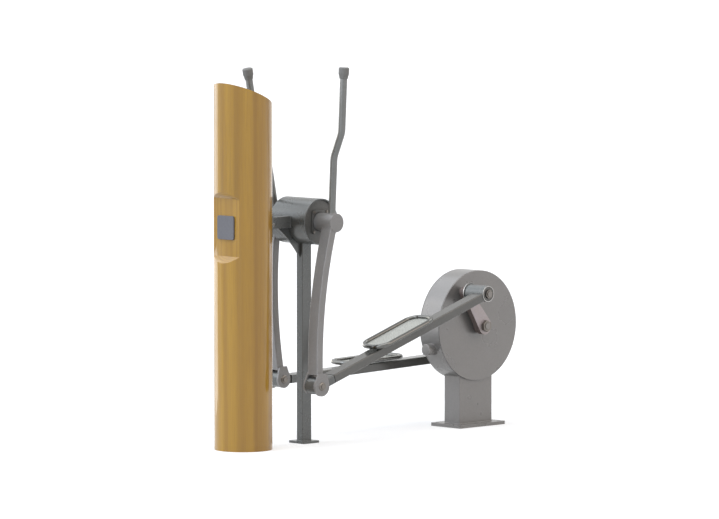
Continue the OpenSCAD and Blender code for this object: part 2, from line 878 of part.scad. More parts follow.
module link_bar() {
    from = stub_start + stub_len + stub_gap;
    color(paint) difference() {
        translate([from, bar_y, -bar_drop]) rotate([90, 0, 90]) linear_extrude(link_len - from)
            box_section(bar_w, bar_t, arm_r, arm_wall);
        translate([link_len, 0, 0]) rod_y(rear_r, rear_in, rear_out + over);
    }
}

module rear_tube() {
    color(paint) translate([link_len, 0, 0]) difference() {
        union() {
            rod_y(rear_r, rear_in, rear_out);
            rod_y(rear_r + flange_lip, rear_in, rear_in + flange_t);
        }
        rod_y(rear_bore, rear_in + flange_t, rear_out + over);
        rod_y(pin_collar_r + collar_room, rear_in - over, rear_in + flange_t + over);
    }
}

module rear_bearings() {
    color(bare_steel) translate([link_len, 0, 0]) for (y = [pin_collar_out, rear_bearing_out])
        bearing_y(rear_bore - seat_gap, pin_r + seat_gap, y, rear_bearing_w);
}

module crank_pin() {
    color(bare_steel) translate([link_len, 0, 0]) {
        rod_y(pin_collar_r, crank_out + side_gap, pin_collar_out);
        rod_y(pin_r, crank_out + side_gap, pin_end);
    }
}

module pin_nut() {
    color(bare_steel) translate([link_len, 0, 0]) {
        ring_y(washer_r, pin_r + seat_gap, pin_washer_y, pin_washer_y + washer_t);
        hex_y(pin_nut_af, pin_nut_y, pin_nut_y + pin_nut_t, pin_r + seat_gap);
    }
}

module pedal_frame() {
    half_l = pedal_l / 2 - pedal_bar_r - pedal_corner;
    half_w = pedal_w / 2 - pedal_bar_r - pedal_corner;
    color(paint_dark) translate([pedal_s, pedal_y, pedal_h]) for (i = [0, 180]) rotate([0, 0, i]) {
        translate([-half_l, half_w + pedal_corner, 0]) rotate([0, 90, 0])
            cylinder(r = pedal_bar_r, h = 2 * half_l);
        translate([half_l + pedal_corner, half_w, 0]) rotate([90, 0, 0])
            cylinder(r = pedal_bar_r, h = 2 * half_w);
        translate([half_l, half_w, 0]) rotate_extrude(angle = 90)
            translate([pedal_corner, 0]) circle(r = pedal_bar_r);
        translate([-half_l, half_w, 0]) rotate([0, 0, 90]) rotate_extrude(angle = 90)
            translate([pedal_corner, 0]) circle(r = pedal_bar_r);
    }
}

module pedal_plate() {
    l = pedal_l - 2 * pedal_bar_r - 2 * plate_inset;
    w = pedal_w - 2 * pedal_bar_r - 2 * plate_inset;
    riser_h = plate_top - plate_thick - bar_top;
    color(tread) {
        translate([pedal_s, pedal_y, plate_top - plate_thick]) linear_extrude(plate_thick)
            round_rect(l, w, pedal_corner - plate_inset);
        for (i = [-1, 1])
            translate([pedal_s + i * riser_gap / 2 - riser_l / 2, bar_y - bar_w / 2 + arm_r, bar_top])
                cube([riser_l, bar_w - 2 * arm_r, riser_h + over]);
    }
}

module near_hub_tube() { on_arm(true) hub_tube(); }
module near_hub_bearings() { on_arm(true) hub_bearings(); }
module near_lower_arm() { on_arm(true) lower_arm(); }
module near_outer_ear() { on_arm(true) outer_ear(); }
module near_inner_ear() { on_arm(true) inner_ear(); }
module near_pivot_bolt() { on_arm(true) pivot_bolt(); }
module near_handle() { on_arm(true) handle(); }
module near_handle_cap() { on_arm(true) handle_cap(); }
module far_hub_tube() { on_arm(false) hub_tube(); }
module far_hub_bearings() { on_arm(false) hub_bearings(); }
module far_lower_arm() { on_arm(false) lower_arm(); }
module far_outer_ear() { on_arm(false) outer_ear(); }
module far_inner_ear() { on_arm(false) inner_ear(); }
module far_pivot_bolt() { on_arm(false) pivot_bolt(); }
module far_handle() { on_arm(false) handle(); }
module far_handle_cap() { on_arm(false) handle_cap(); }
module near_front_yoke() { on_link(true) front_yoke(); }
module near_front_bush() { on_link(true) front_bush(); }
module near_link_bar() { on_link(true) link_bar(); }
module near_rear_tube() { on_link(true) rear_tube(); }
module near_rear_bearings() { on_link(true) rear_bearings(); }
module near_crank_pin() { on_link(true) crank_pin(); }
module near_pin_nut() { on_link(true) pin_nut(); }
module near_pedal_frame() { on_link(true) pedal_frame(); }
module near_pedal_plate() { on_link(true) pedal_plate(); }
module far_front_yoke() { on_link(false) front_yoke(); }
module far_front_bush() { on_link(false) front_bush(); }
module far_link_bar() { on_link(false) link_bar(); }
module far_rear_tube() { on_link(false) rear_tube(); }
module far_rear_bearings() { on_link(false) rear_bearings(); }
module far_crank_pin() { on_link(false) crank_pin(); }
module far_pin_nut() { on_link(false) pin_nut(); }
module far_pedal_frame() { on_link(false) pedal_frame(); }
module far_pedal_plate() { on_link(false) pedal_plate(); }

post();
post_plate();
post_rods();
post_saddle();
beam();
gusset();
column();
column_base();
pivot_housing();
housing_caps();
pivot_axle();
axle_nuts();
pedestal();
pedestal_base();
drum_rim();
near_drum_cover();
far_drum_cover();
shaft_housings();
shaft_bearings();
drum_boss();
crank_shaft();
flywheel();
near_crank();
far_crank();
crank_nuts();
near_hub_tube();
near_hub_bearings();
near_lower_arm();
near_outer_ear();
near_inner_ear();
near_pivot_bolt();
near_handle();
near_handle_cap();
far_hub_tube();
far_hub_bearings();
far_lower_arm();
far_outer_ear();
far_inner_ear();
far_pivot_bolt();
far_handle();
far_handle_cap();
near_front_yoke();
near_front_bush();
near_link_bar();
near_rear_tube();
near_rear_bearings();
near_crank_pin();
near_pin_nut();
near_pedal_frame();
near_pedal_plate();
far_front_yoke();
far_front_bush();
far_link_bar();
far_rear_tube();
far_rear_bearings();
far_crank_pin();
far_pin_nut();
far_pedal_frame();
far_pedal_plate();
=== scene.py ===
# Outdoor elliptical fitness station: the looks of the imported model, in metres.
# X runs along the machine from the post to the drum, Z is up, and the near side is -Y.
import json
import math

import bmesh
import bpy
from mathutils import Matrix, Vector

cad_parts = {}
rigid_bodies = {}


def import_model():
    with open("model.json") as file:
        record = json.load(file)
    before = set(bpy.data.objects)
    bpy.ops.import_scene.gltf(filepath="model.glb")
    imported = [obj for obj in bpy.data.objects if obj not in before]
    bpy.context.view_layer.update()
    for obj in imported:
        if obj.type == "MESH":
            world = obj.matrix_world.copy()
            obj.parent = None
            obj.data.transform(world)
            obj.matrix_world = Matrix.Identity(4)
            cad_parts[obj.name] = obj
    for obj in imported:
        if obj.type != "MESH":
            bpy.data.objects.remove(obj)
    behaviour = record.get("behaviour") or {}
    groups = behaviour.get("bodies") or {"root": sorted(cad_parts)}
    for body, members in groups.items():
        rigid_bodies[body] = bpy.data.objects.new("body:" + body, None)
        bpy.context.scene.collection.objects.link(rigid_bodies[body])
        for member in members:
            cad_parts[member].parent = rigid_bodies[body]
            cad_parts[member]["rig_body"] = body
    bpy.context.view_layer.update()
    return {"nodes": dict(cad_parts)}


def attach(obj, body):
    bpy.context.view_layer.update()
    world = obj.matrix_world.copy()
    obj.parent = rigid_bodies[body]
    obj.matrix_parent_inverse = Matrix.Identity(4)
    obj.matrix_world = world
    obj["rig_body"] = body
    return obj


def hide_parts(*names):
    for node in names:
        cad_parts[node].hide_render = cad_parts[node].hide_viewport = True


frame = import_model()
scene = bpy.context.scene
MM = 0.001

# Each side of the machine, and the way it lies from the middle
SIDES = {"near": -1, "far": 1}

# Places from the model, in millimetres and degrees
POST_X = -364
PIVOT_H = 970
LINK_SLOPE = {"near": 17.9616, "far": 1.7210}
LOWER_PIVOT = {"near": (-132.32, 272.44), "far": (44.11, 261.37)}
CRANK_PIN = {"near": (908.38, 609.76), "far": (1137.62, 294.24)}
DRUM = (1023, 452)
DRUM_R, DRUM_HALF, COVER_T = 246.5, 61, 4
HOUSING_R, HUB_R, REAR_R = 101, 40.5, 37
COLUMN_BASE_T, PEDESTAL_BASE_T = 10, 15


# Camera: a long lens from the front left, a little above level
CAMERA_AT = (-17.1018, -17.6863, 2.7364)
CAMERA_YAW, CAMERA_PITCH, CAMERA_LENS = 44.6, 4.5, 284.2
camera = bpy.data.objects.new("camera", bpy.data.cameras.new("camera"))
camera.data.lens = CAMERA_LENS
camera.data.clip_end = 300
camera.location = CAMERA_AT
camera.rotation_euler = [math.radians(a) for a in (90 - CAMERA_PITCH, 0, -CAMERA_YAW)]
scene.collection.objects.link(camera)
scene.camera = camera


# Materials
# A Mix node's colour sockets go by number, because its number sockets have the same names
MIX_A, MIX_B = 6, 7


def srgb(text):
    """The linear colour of an sRGB hex value."""
    parts = [int(text[i:i + 2], 16) / 255 for i in (1, 3, 5)]
    return [c / 12.92 if c <= 0.04045 else ((c + 0.055) / 1.055) ** 2.4 for c in parts] + [1]


def add(tree, kind, inputs=None, **settings):
    """Adds a node; an input takes a value or another node's output."""
    node = tree.nodes.new("ShaderNode" + kind)
    for name, value in settings.items():
        setattr(node, name, value)
    for name, value in (inputs or {}).items():
        if isinstance(value, bpy.types.NodeSocket):
            tree.links.new(value, node.inputs[name])
        else:
            node.inputs[name].default_value = value
    return node


def spacing(size):
    """Texture scale that makes one feature of a pattern this many millimetres wide."""
    return 1 / (size * MM)


def new_material(name):
    """An empty material and its tree."""
    material = bpy.data.materials.new(name)
    material.use_nodes = True
    material.node_tree.nodes.clear()
    return material, material.node_tree


def coated(name, colour, light, shine, flake, peel):
    """A sprayed and baked coat: soft mottling, and the orange peel that the baked film keeps."""
    material, tree = new_material(name)
    where = add(tree, "TexCoord").outputs["Object"]
    cloud = add(tree, "TexNoise", {"Vector": where, "Scale": spacing(110), "Detail": 3.0})
    # The flakes are 0.05 mm, drawn at 9 mm so that their shimmer shows at all
    speck = add(tree, "TexNoise", {"Vector": where, "Scale": spacing(9), "Detail": 1.0})
    blend = add(tree, "Math", {0: cloud.outputs["Fac"], 1: speck.outputs["Fac"]}, operation="MULTIPLY")
    level = add(tree, "MapRange", {"Value": blend.outputs[0], "From Min": 0.12, "From Max": 0.42})
    tone = add(tree, "Mix", {
        "Factor": level.outputs[0], MIX_A: srgb(colour), MIX_B: srgb(light),
    }, data_type="RGBA")
    rough = add(tree, "MapRange", {
        "Value": cloud.outputs["Fac"], "From Min": 0.3, "From Max": 0.7,
        "To Min": shine - 0.05, "To Max": shine + 0.06,
    })
    # The peel is 1.5 mm from crest to crest, drawn at 12 mm
    skin = add(tree, "TexNoise", {"Vector": where, "Scale": spacing(12), "Detail": 1.0})
    bump = add(tree, "Bump", {"Height": skin.outputs["Fac"], "Strength": peel, "Distance": 0.3 * MM})
    shader = add(tree, "BsdfPrincipled", {
        "Base Color": tone.outputs[2], "Metallic": flake, "Roughness": rough.outputs[0],
        "Normal": bump.outputs[0],
    })
    add(tree, "OutputMaterial", {"Surface": shader.outputs[0]})
    return material


def bare_metal(name, colour, light, shine, scratch, mottle=40):
    """Uncoated metal: a base tone, cloudy plating or casting marks, and fine tool marks."""
    material, tree = new_material(name)
    where = add(tree, "TexCoord").outputs["Object"]
    cloud = add(tree, "TexNoise", {"Vector": where, "Scale": spacing(mottle), "Detail": 4.0})
    tone = add(tree, "Mix", {
        "Factor": cloud.outputs["Fac"], MIX_A: srgb(colour), MIX_B: srgb(light),
    }, data_type="RGBA")
    # Tool marks are 0.2 mm apart, drawn at 1.5 mm
    marks = add(tree, "TexNoise", {"Vector": where, "Scale": spacing(1.5), "Detail": 2.0})
    rough = add(tree, "MapRange", {
        "Value": marks.outputs["Fac"], "From Min": 0.3, "From Max": 0.7,
        "To Min": shine - 0.06, "To Max": shine + 0.08,
    })
    bump = add(tree, "Bump", {
        "Height": marks.outputs["Fac"], "Strength": scratch, "Distance": 0.15 * MM,
    })
    shader = add(tree, "BsdfPrincipled", {
        "Base Color": tone.outputs[2], "Metallic": 1.0, "Roughness": rough.outputs[0],
        "Normal": bump.outputs[0],
    })
    add(tree, "OutputMaterial", {"Surface": shader.outputs[0]})
    return material


def varnished_timber():
    """A turned round of golden softwood under gloss varnish: straight streaks of grain along the post, broad
    vertical bands that are partly the board's own tone and partly painted shade, rings on the slanted cut,
    and a clear coat that gives the long bright line down its side."""
    material, tree = new_material("varnished_softwood")
    where = add(tree, "TexCoord").outputs["Object"]
    # The pith is 15 and 12 mm off the post's axis, and the grain is drawn out 30 times along the post
    pith = add(tree, "Mapping", {
        "Vector": where, "Location": (-(POST_X + 15) * MM, 12 * MM, 0), "Scale": (1, 1, 0.03),
    })
    # Growth rings 4 mm apart, drawn at 9 mm; at scale 1 a wave repeats every pi / 10
    rings = add(tree, "TexWave", {
        "Vector": pith.outputs[0], "Scale": spacing(9) * math.pi / 10, "Distortion": 7.0, "Detail": 3.0,
        "Detail Scale": 0.12,
    }, wave_type="RINGS", rings_direction="Z")
    # Fibres 0.5 mm wide, drawn at 5 mm
    fibre = add(tree, "TexNoise", {"Vector": pith.outputs[0], "Scale": spacing(5), "Detail": 4.0})
    # Broad vertical bands 60 mm across, darker and paler: partly the board's own tone, partly painted shade
    # down the post's side
    board_tone_and_painted_shade = add(tree, "TexNoise", {"Vector": pith.outputs[0], "Scale": spacing(60), "Detail": 2.0})
    early = add(tree, "Mix", {
        "Factor": board_tone_and_painted_shade.outputs["Fac"], MIX_A: srgb("#8F681A"), MIX_B: srgb("#AF882C"),
    }, data_type="RGBA")
    late_share = add(tree, "MapRange", {
        "Value": rings.outputs["Fac"], "From Min": 0.35, "From Max": 1.0, "To Min": 0.0, "To Max": 0.42,
    })
    late = add(tree, "Mix", {
        "Factor": late_share.outputs[0], MIX_A: early.outputs[2], MIX_B: srgb("#7F5A1C"),
    }, data_type="RGBA")
    fibre_share = add(tree, "MapRange", {
        "Value": fibre.outputs["Fac"], "From Min": 0.35, "From Max": 0.75, "To Min": 0.0, "To Max": 0.4,
    })
    tone = add(tree, "Mix", {
        "Factor": fibre_share.outputs[0], MIX_A: late.outputs[2], MIX_B: srgb("#876222"),
    }, data_type="RGBA")
    bump = add(tree, "Bump", {"Height": fibre.outputs["Fac"], "Strength": 0.12, "Distance": 0.2 * MM})
    shader = add(tree, "BsdfPrincipled", {
        "Base Color": tone.outputs[2], "Roughness": 0.4, "Specular IOR Level": 0.1,
        "Normal": bump.outputs[0], "Coat Weight": 1.0, "Coat Roughness": 0.08,
    })
    add(tree, "OutputMaterial", {"Surface": shader.outputs[0]})
    return material


# Polyester powder coat on the drum and its stand, silver grey with fine flake: a soft metallic gloss
silver_coat = coated("silver_powder_coat", "#7D7B79", "#817F7D", 0.3, 0.4, 0.02)
# The same coat, a tone darker, on the column, the beam, the housing and the bearing tubes
graphite_coat = coated("graphite_powder_coat", "#5E605F", "#646665", 0.28, 0.4, 0.03)
# The same coat on the link bars, a touch glossier and warmer
bar_coat = coated("satin_graphite_powder_coat", "#5A5A57", "#61605E", 0.2, 0.4, 0.03)
# The same coat on the handles, paled by hands and sun
handle_coat = coated("worn_graphite_powder_coat", "#6F706E", "#767775", 0.3, 0.4, 0.03)
# A paler coat with less flake on the swing arms: softer, with no hard highlights
arm_coat = coated("steel_grey_powder_coat", "#7C7B7A", "#828180", 0.36, 0.15, 0.03)
# The dark coat on the housing's end caps and their flange plates, rubbed dull
cap_coat = coated("dull_graphite_powder_coat", "#555552", "#5E5E5C", 0.42, 0.3, 0.08)
# The silver coat on the cranks, from a warmer batch
crank_coat = coated("warm_powder_coat", "#9A918E", "#A0989A", 0.34, 0.4, 0.08)
# A slate coat on the post's plate: nearly matt
plate_coat = coated("slate_powder_coat", "#5C5C60", "#626266", 0.5, 0.1, 0.1)
# Zinc plating on nuts, bolts and washers: dull silver with a cloudy bloom
zinc_plate = bare_metal("zinc_plated_steel", "#6F6B66", "#7D7872", 0.36, 0.12)
# Ground shafts and bearing races: smooth, dulled by the weather
ground_steel = bare_metal("ground_bearing_steel", "#77736F", "#85817D", 0.26, 0.08)
# Bent and polished stainless bar of the pedal frames: long sharp highlights
polished_bar = bare_metal("polished_stainless_bar", "#626260", "#6D6D6A", 0.2, 0.04)
# Cast and machined iron of the flywheel: dark, with a sandy skin
cast_iron = bare_metal("cast_iron", "#4A4A4C", "#59595A", 0.6, 0.5, mottle=18)
# Plain bearing bronze: oiled and warm
bronze = bare_metal("bearing_bronze", "#A0814E", "#B0925A", 0.32, 0.1)
# Cast aluminium pedal plates: pale and dull, with a cloudy casting skin
cast_aluminium = bare_metal("cast_aluminium_tread", "#A3A5A1", "#AFB1AD", 0.5, 0.3, mottle=12)
# Moulded polyamide end caps and dust shields: matt, with a spark-eroded skin
moulded_cap = coated("moulded_polyamide", "#666664", "#6F6F6C", 0.62, 0.0, 0.3)
# Flanks of the cranks, under one thin coat: rough, and dark with painted shade, the shade that falls on the
# cranks' sides
crank_flank_painted_shade = coated("painted_shade_flank", "#5B504D", "#675C58", 0.55, 0.1, 0.2)
# Rubber cord between the drum's rim and its covers: matt, and black as painted shade of the groove it lies
# in
seal_cord_painted_shade = coated("seal_cord_painted_shade", "#2A2A2B", "#333334", 0.7, 0.0, 0.1)
# Turned end faces of the bearing tubes, left bare: pale, with a soft shine; the pale tone is partly bare
# steel and partly painted highlight, and it also draws pale highlight lips on the flanges
bare_steel_and_painted_highlight = bare_metal("turned_steel_and_painted_highlight", "#A3A19E", "#AEACA9", 0.3, 0.1)
timber = varnished_timber()


# Making pieces
# Points closer than this, in metres, are one
SAME_POINT = 1e-6


def joined_copy(node):
    """A CAD node's mesh with its loose triangles joined."""
    bm = bmesh.new()
    bm.from_mesh(frame["nodes"][node].data)
    bmesh.ops.remove_doubles(bm, verts=bm.verts, dist=SAME_POINT)
    return bm


def merged_copy(node):
    """The same, with its flat faces whole."""
    bm = joined_copy(node)
    bmesh.ops.dissolve_limit(
        bm, angle_limit=math.radians(0.3), use_dissolve_boundaries=False, verts=bm.verts, edges=bm.edges,
    )
    return bm


def ease(bm, width, where=None, angle=30, segments=3):
    """Rounds the sharp edges whose ends pass the test, this many millimetres back."""
    edges = [
        e for e in bm.edges
        if len(e.link_faces) == 2 and e.calc_face_angle() > math.radians(angle)
        and (where is None or all(where(v.co) for v in e.verts))
    ]
    bmesh.ops.bevel(
        bm, geom=edges, offset=width * MM, offset_type="OFFSET", segments=segments, profile=0.5,
        affect="EDGES", clamp_overlap=True, material=-1,
    )
    bmesh.ops.remove_doubles(bm, verts=bm.verts, dist=0.02 * MM)
    return bm


def make(name, bm, finish, body, stands_for=(), crease=38):
    """Turns a bmesh into a finished piece that rides on a body."""
    mesh = bpy.data.meshes.new(name)
    bm.to_mesh(mesh)
    bm.free()
    mesh.materials.append(finish)
    mesh.polygons.foreach_set("use_smooth", [True] * len(mesh.polygons))
    mesh.set_sharp_from_angle(angle=math.radians(crease))
    piece = bpy.data.objects.new(name, mesh)
    scene.collection.objects.link(piece)
    smooth = piece.modifiers.new("even_shading", "WEIGHTED_NORMAL")
    smooth.keep_sharp = True
    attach(piece, body)
    if stands_for:
        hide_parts(*stands_for)
    return piece


def body_of(node):
    """The body that a CAD node rides on."""
    return frame["nodes"][node]["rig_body"]


def turned(profile, steps=48):
    """A shape turned about Z from (along, radius) pairs in millimetres."""
    bm = bmesh.new()
    points = [bm.verts.new((radius * MM, 0, along * MM)) for along, radius in profile]
    lines = [bm.edges.new(pair) for pair in zip(points, points[1:])]
    bmesh.ops.spin(
        bm, geom=points + lines, cent=(0, 0, 0), axis=(0, 0, 1), angle=2 * math.pi, steps=steps,
        use_merge=True,
    )
    bmesh.ops.remove_doubles(bm, verts=bm.verts, dist=SAME_POINT)
    bmesh.ops.recalc_face_normals(bm, faces=bm.faces)
    return bm


def ring_section(low, high, inner, outer, draft=0):
    """Outline of a flat ring for turned(); draft draws its sides in towards the top."""
    return [(low, inner), (low, outer), (high, outer - draft), (high, inner + draft), (low, inner)]


def placed(bm, place):
    """A shape, moved to its place."""
    bmesh.ops.transform(bm, matrix=place, verts=bm.verts)
    return bm


def join(target, source, place):
    """Adds one bmesh to another at a place."""
    source.transform(place)
    spare = bpy.data.meshes.new("spare")
    source.to_mesh(spare)
    source.free()
    target.from_mesh(spare)
    bpy.data.meshes.remove(spare)


def along_y(x, y, z, outward):
    """Place at a point in millimetres, with Z turned across the machine: outward is 1 for +Y, -1 for -Y."""
    turn = Matrix.Rotation(math.radians(-90 * outward), 4, "X")
    return Matrix.Translation(Vector((x, y, z)) * MM) @ turn


# CAD nodes that keep their form and get their edges eased: finish, slot, suffix and edge radius in mm
SILVER = (silver_coat, "grey_paint", "coated")
GRAPHITE = (graphite_coat, "grey_paint", "coated")
BAR = (bar_coat, "grey_paint", "coated")
ARM = (arm_coat, "grey_paint", "coated")
PLATED = (zinc_plate, "bare_steel", "plated")
EASED = {
    "post": (timber, "post_timber", "varnished", 3),
    "post_plate": (plate_coat, "grey_paint", "coated", 1.5),
    "column": (*GRAPHITE, 0.8),
    "beam": (*GRAPHITE, 0.8),
    "pedestal": (*SILVER, 0.8),
    "gusset": (*GRAPHITE, 1.2),
    "column_base": (*GRAPHITE, 1.5),
    "pedestal_base": (*SILVER, 2),
    "pivot_housing": (*GRAPHITE, 1.5),
    "housing_caps": (cap_coat, "grey_paint", "coated", 1),
    "post_saddle": (*GRAPHITE, 1.5),
    "drum_boss": (*SILVER, 2),
    "crank_nuts": (*PLATED, 1.5),
}
for side in SIDES:
    EASED.update({
        side + "_hub_tube": (*ARM, 2),
        side + "_lower_arm": (*ARM, 0.8),
        side + "_outer_ear": (*ARM, 1.5),
        side + "_inner_ear": (*ARM, 1.5),
        side + "_front_yoke": (*GRAPHITE, 1),
        side + "_link_bar": (*BAR, 0.8),
        side + "_rear_tube": (*GRAPHITE, 1.2),
        side + "_pin_nut": (*PLATED, 1.2),
        side + "_handle_cap": (moulded_cap, "cap_plastic", "moulded", 1.2),
    })
for node, (finish, slot, suffix, edge) in EASED.items():
    bm = ease(merged_copy(node), edge)
    make(f"{node}_{suffix}", bm, finish, body_of(node), stands_for=[node])

# CAD nodes that are right as they are
KEPT = {
    silver_coat: ["shaft_housings"],
    handle_coat: [s + "_handle" for s in SIDES],
    polished_bar: [s + "_pedal_frame" for s in SIDES],
    ground_steel: ["pivot_axle", "shaft_bearings", "crank_shaft"]
    + [s + n for s in SIDES for n in ("_hub_bearings", "_rear_bearings", "_crank_pin")],
    zinc_plate: ["post_rods", "axle_nuts"],
    cast_iron: ["flywheel"],
    bronze: [s + "_front_bush" for s in SIDES],
}
for finish, nodes in KEPT.items():
    for node in nodes:
        frame["nodes"][node].material_slots[0].material = finish


# Drum: the rim and the covers meet in a fine groove, and the covers' outer edges are rolled round
def on_drum_edge(half):
    """Test for points at the drum's full radius, this far from the machine's middle."""
    def test(co):
        reach = math.hypot(co.x - DRUM[0] * MM, co.z - DRUM[1] * MM)
        return reach > (DRUM_R - 1) * MM and abs(abs(co.y) - half * MM) < 0.1 * MM
    return test


ROLLED_EDGE, GROOVE_EDGE = 1.5, 2
for node in ("near_drum_cover", "far_drum_cover", "drum_rim"):
    bm = merged_copy(node)
    if node != "drum_rim":
        ease(bm, ROLLED_EDGE, where=on_drum_edge(DRUM_HALF))
    ease(bm, GROOVE_EDGE, where=on_drum_edge(DRUM_HALF - COVER_T))
    ease(bm, 1, angle=50)
    make(node + "_coated", bm, silver_coat, "frame", stands_for=[node])

# Seals: a dark cord lies in the groove between the rim and each cover; its black is painted shade of the
# groove
SEAL_R, SEAL_DEEP = 2, 0.1
SEAL_MIDDLE = DRUM_R - SEAL_DEEP - SEAL_R
for side, sign in SIDES.items():
    cord = [
        (SEAL_R * math.sin(a), SEAL_MIDDLE + SEAL_R * math.cos(a))
        for a in [math.radians(d) for d in range(0, 361, 45)]
    ]
    seat = along_y(DRUM[0], sign * (DRUM_HALF - COVER_T), DRUM[1], 1)
    make(side + "_cover_seal", placed(turned(cord, 128), seat), seal_cord_painted_shade, "frame")

# Cranks: coated faces, and flanks darkened with painted shade
FLANK_TILT = 0.3
for side in SIDES:
    node = side + "_crank"
    bm = ease(merged_copy(node), 1.5)
    piece = make(node + "_coated", bm, crank_coat, body_of(node), stands_for=[node])
    piece.data.materials.append(crank_flank_painted_shade)
    # Faces turned across the machine are the flanks, and they get the dark painted shade
    for face in piece.data.polygons:
        face.material_index = 1 if abs(face.normal.y) < FLANK_TILT else 0


# Flange plates on the housing's end caps, round the hubs, each held by four hexagon screws
def flange_plate(half_w, half_h, corner, hole, thick):
    """A plate with round corners and a round hole, lying on z = 0."""
    bm = bmesh.new()
    square = bmesh.ops.create_grid(bm, x_segments=1, y_segments=1, size=1)["verts"]
    bmesh.ops.scale(bm, verts=square, vec=(half_w * MM, half_h * MM, 1))
    bmesh.ops.delete(bm, geom=bm.faces[:], context="FACES_ONLY")
    bmesh.ops.bevel(
        bm, geom=bm.verts[:], offset=corner * MM, offset_type="OFFSET", segments=5, profile=0.5,
        affect="VERTICES", clamp_overlap=True, material=-1,
    )
    outer = bm.edges[:]
    ring = bmesh.ops.create_circle(bm, segments=48, radius=hole * MM)["verts"]
    inner = [e for e in bm.edges if all(v in ring for v in e.verts)]
    bmesh.ops.bridge_loops(bm, edges=outer + inner)
    raised = bmesh.ops.extrude_face_region(bm, geom=bm.faces[:])["geom"]
    top = [v for v in raised if isinstance(v, bmesh.types.BMVert)]
    bmesh.ops.translate(bm, verts=top, vec=(0, 0, thick * MM))
    bmesh.ops.recalc_face_normals(bm, faces=bm.faces)
    return ease(bm, 1, angle=50, segments=2)


def hexagon_head(across, height):
    """A screw's six-sided head, eased at its top, standing on z = 0."""
    bm = bmesh.new()
    corner_r = across / math.sqrt(3) * MM
    bmesh.ops.create_cone(
        bm, cap_ends=True, segments=6, radius1=corner_r, radius2=corner_r, depth=height * MM,
        matrix=Matrix.Translation((0, 0, height / 2 * MM)),
    )
    return ease(bm, 0.8, where=lambda co: co.z > height / 2 * MM, segments=2)


CAP_FACE = 97
FLANGE_HALF_W, FLANGE_HALF_H, FLANGE_CORNER, FLANGE_HOLE, FLANGE_T = 49, 52, 12, 42, 6
SCREW_X, SCREW_Z, SCREW_ACROSS, SCREW_H = 39.5, 42.5, 13, 4
for side, sign in SIDES.items():
    bm = flange_plate(FLANGE_HALF_W, FLANGE_HALF_H, FLANGE_CORNER, FLANGE_HOLE, FLANGE_T)
    seat = along_y(0, sign * CAP_FACE, PIVOT_H, sign)
    make(side + "_flange_plate", placed(bm, seat), cap_coat, "frame")
    bm = bmesh.new()
    for x in (-SCREW_X, SCREW_X):
        for z in (-SCREW_Z, SCREW_Z):
            seat = along_y(x, sign * (CAP_FACE + FLANGE_T), PIVOT_H + z, sign)
            join(bm, hexagon_head(SCREW_ACROSS, SCREW_H), seat)
    make(side + "_flange_screws", bm, zinc_plate, "frame")

# Pale turned faces at the outer ends of the rear bearing tubes, partly bare steel and partly painted
# highlight, and pale lips on the edges of their inner flanges, which are painted highlight
REAR_IN, REAR_OUT, REAR_BORE, REAR_FLANGE_R = 120, 236, 31, 42
FACE_T, FACE_IN, FACE_OUT, FACE_DRAFT = 0.8, REAR_BORE + 0.8, REAR_R - 1.2, 0.3
LIP_FROM, LIP_TO, LIP_HALF = 0.8, 4.2, 0.3
for side, sign in SIDES.items():
    x, z = CRANK_PIN[side]
    face = turned(ring_section(0, FACE_T, FACE_IN, FACE_OUT, FACE_DRAFT), 64)
    bm = placed(face, along_y(x, sign * REAR_OUT, z, sign))
    # A thin pale ring on the flange's rim: a painted highlight along its edge
    lip = ring_section(LIP_FROM, LIP_TO, REAR_FLANGE_R - LIP_HALF, REAR_FLANGE_R + LIP_HALF)
    join(bm, turned(lip, 64), along_y(x, sign * REAR_IN, z, sign))
    make(side + "_bare_steel_and_painted_highlight", bm, bare_steel_and_painted_highlight, side + "_link")

# Dust shields: a moulded ring lies in the recess of each rear tube, round the nut
SHIELD_Y, SHIELD_T, SHIELD_IN, SHIELD_OUT, SHIELD_BEVEL = 225, 9.5, 18.2, 30.8, 1.5
for side, sign in SIDES.items():
    x, z = CRANK_PIN[side]
    ring = [
        (0, SHIELD_IN), (0, SHIELD_OUT), (SHIELD_T, SHIELD_OUT), (SHIELD_T, SHIELD_IN + SHIELD_BEVEL),
        (SHIELD_T - SHIELD_BEVEL, SHIELD_IN), (0, SHIELD_IN),
    ]
    bm = placed(turned(ring, 64), along_y(x, sign * SHIELD_Y, z, sign))
    make(side + "_dust_shield", bm, moulded_cap, side + "_link")


# Lower pivot bolts: a domed head on each ear, and a shank that fills their sockets and ends proud of them
def domed_head(radius, height, socket, depth):
    """A round head with a six-sided socket, standing on z = 0."""
    bulge = 0.45
    dome = [
        (height * math.sin(a), radius - bulge * radius * (1 - math.cos(a)))
        for a in [math.radians(d) for d in range(0, 91, 15)]
    ]
    bm = turned([(0, 0), (0, radius)] + dome)
    rim = [e for e in bm.edges if len(e.link_faces) == 1]
    hexagon = bmesh.ops.create_circle(
        bm, segments=6, radius=socket * MM, matrix=Matrix.Translation((0, 0, height * MM)),
    )["verts"]
    ring = [e for e in bm.edges if all(v in hexagon for v in e.verts)]
    bmesh.ops.bridge_loops(bm, edges=rim + ring)
    floor = bmesh.ops.extrude_edge_only(bm, edges=ring)["geom"]
    bottom = [v for v in floor if isinstance(v, bmesh.types.BMVert)]
    bmesh.ops.translate(bm, verts=bottom, vec=(0, 0, -depth * MM))
    bmesh.ops.contextual_create(bm, geom=bottom + [e for e in floor if isinstance(e, bmesh.types.BMEdge)])
    bmesh.ops.recalc_face_normals(bm, faces=bm.faces)
    return bm


